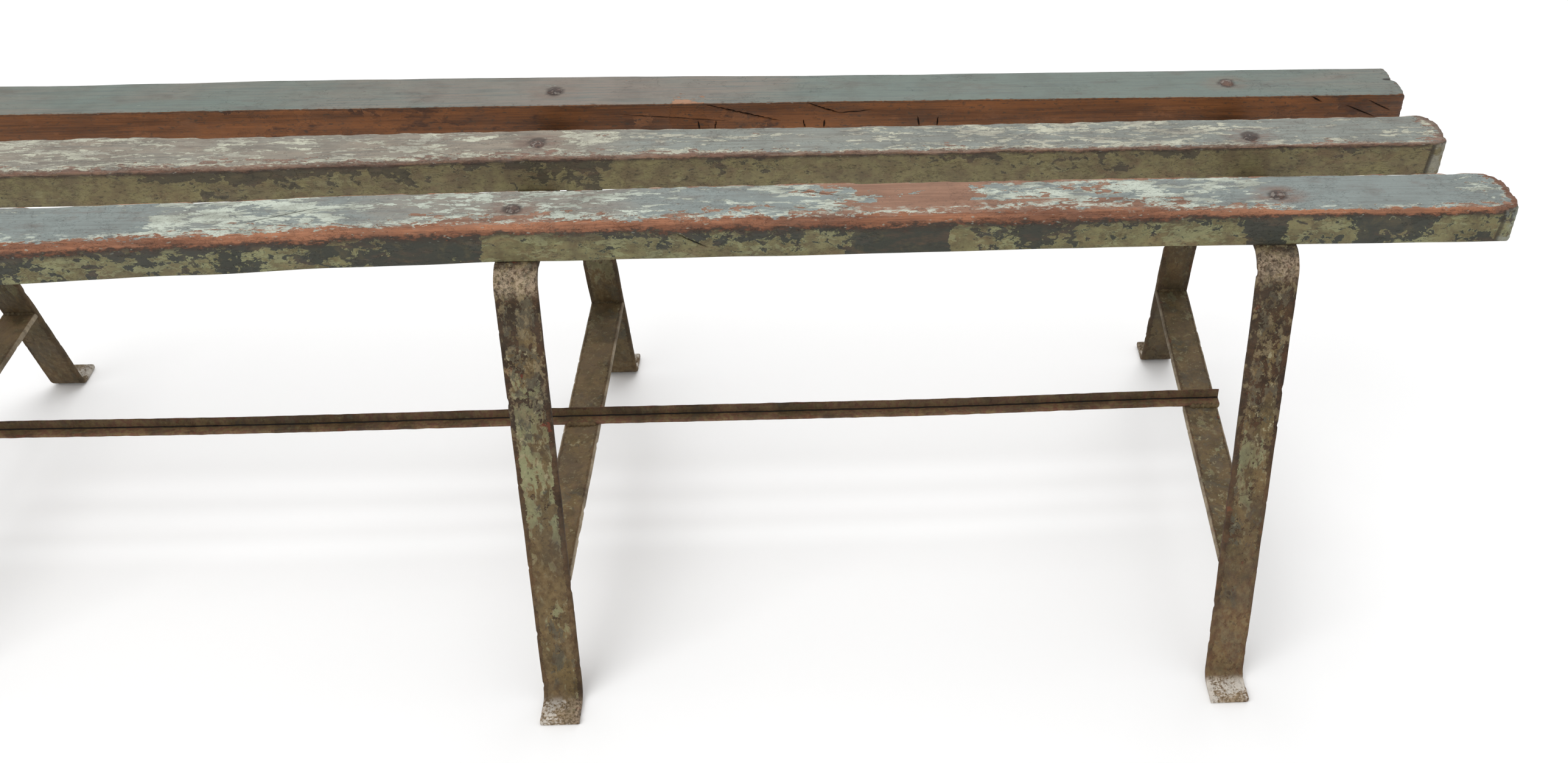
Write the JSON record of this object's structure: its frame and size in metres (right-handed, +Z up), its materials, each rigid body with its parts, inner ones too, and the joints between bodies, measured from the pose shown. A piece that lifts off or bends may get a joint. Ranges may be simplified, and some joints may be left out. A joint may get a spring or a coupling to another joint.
{
  "type": "backless bench",
  "caption": "Backless slatted seat of thick timber boards bolted across bent flat-iron leg frames with low crossbars and a long angle-iron stretcher.",
  "frame": {"origin": "on the floor at the middle of the bench's footprint", "axes": "+X along the seat, front towards -Y, +Z up"},
  "size_m": [1.64, 0.534, 0.4418],
  "materials": {
    "painted_timber": "old paint, worn to bare wood on the front edges",
    "painted_iron": "chipped paint over rust",
    "bolt_steel": "rusted, with traces of paint"
  },
  "bodies": {
    "root": {"coach_bolt_left_front": "bolt_steel", "coach_bolt_left_middle": "bolt_steel", "coach_bolt_left_rear": "bolt_steel", "coach_bolt_middle_front": "bolt_steel", "coach_bolt_middle_middle": "bolt_steel", "coach_bolt_middle_rear": "bolt_steel", "coach_bolt_right_front": "bolt_steel", "coach_bolt_right_middle": "bolt_steel", "coach_bolt_right_rear": "bolt_steel", "crossbar_left": "painted_iron", "crossbar_middle": "painted_iron", "crossbar_right": "painted_iron", "leg_frame_left": "painted_iron", "leg_frame_middle": "painted_iron", "leg_frame_right": "painted_iron", "nut_left_front": "bolt_steel", "nut_left_middle": "bolt_steel", "nut_left_rear": "bolt_steel", "nut_middle_front": "bolt_steel", "nut_middle_middle": "bolt_steel", "nut_middle_rear": "bolt_steel", "nut_right_front": "bolt_steel", "nut_right_middle": "bolt_steel", "nut_right_rear": "bolt_steel", "slat_front": "painted_timber", "slat_middle": "painted_timber", "slat_rear": "painted_timber", "stretcher": "painted_iron", "washer_left_front": "bolt_steel", "washer_left_middle": "bolt_steel", "washer_left_rear": "bolt_steel", "washer_middle_front": "bolt_steel", "washer_middle_middle": "bolt_steel", "washer_middle_rear": "bolt_steel", "washer_right_front": "bolt_steel", "washer_right_middle": "bolt_steel", "washer_right_rear": "bolt_steel", "weld_beads_left": "painted_iron", "weld_beads_middle": "painted_iron", "weld_beads_right": "painted_iron"}
  },
  "joints": []
}
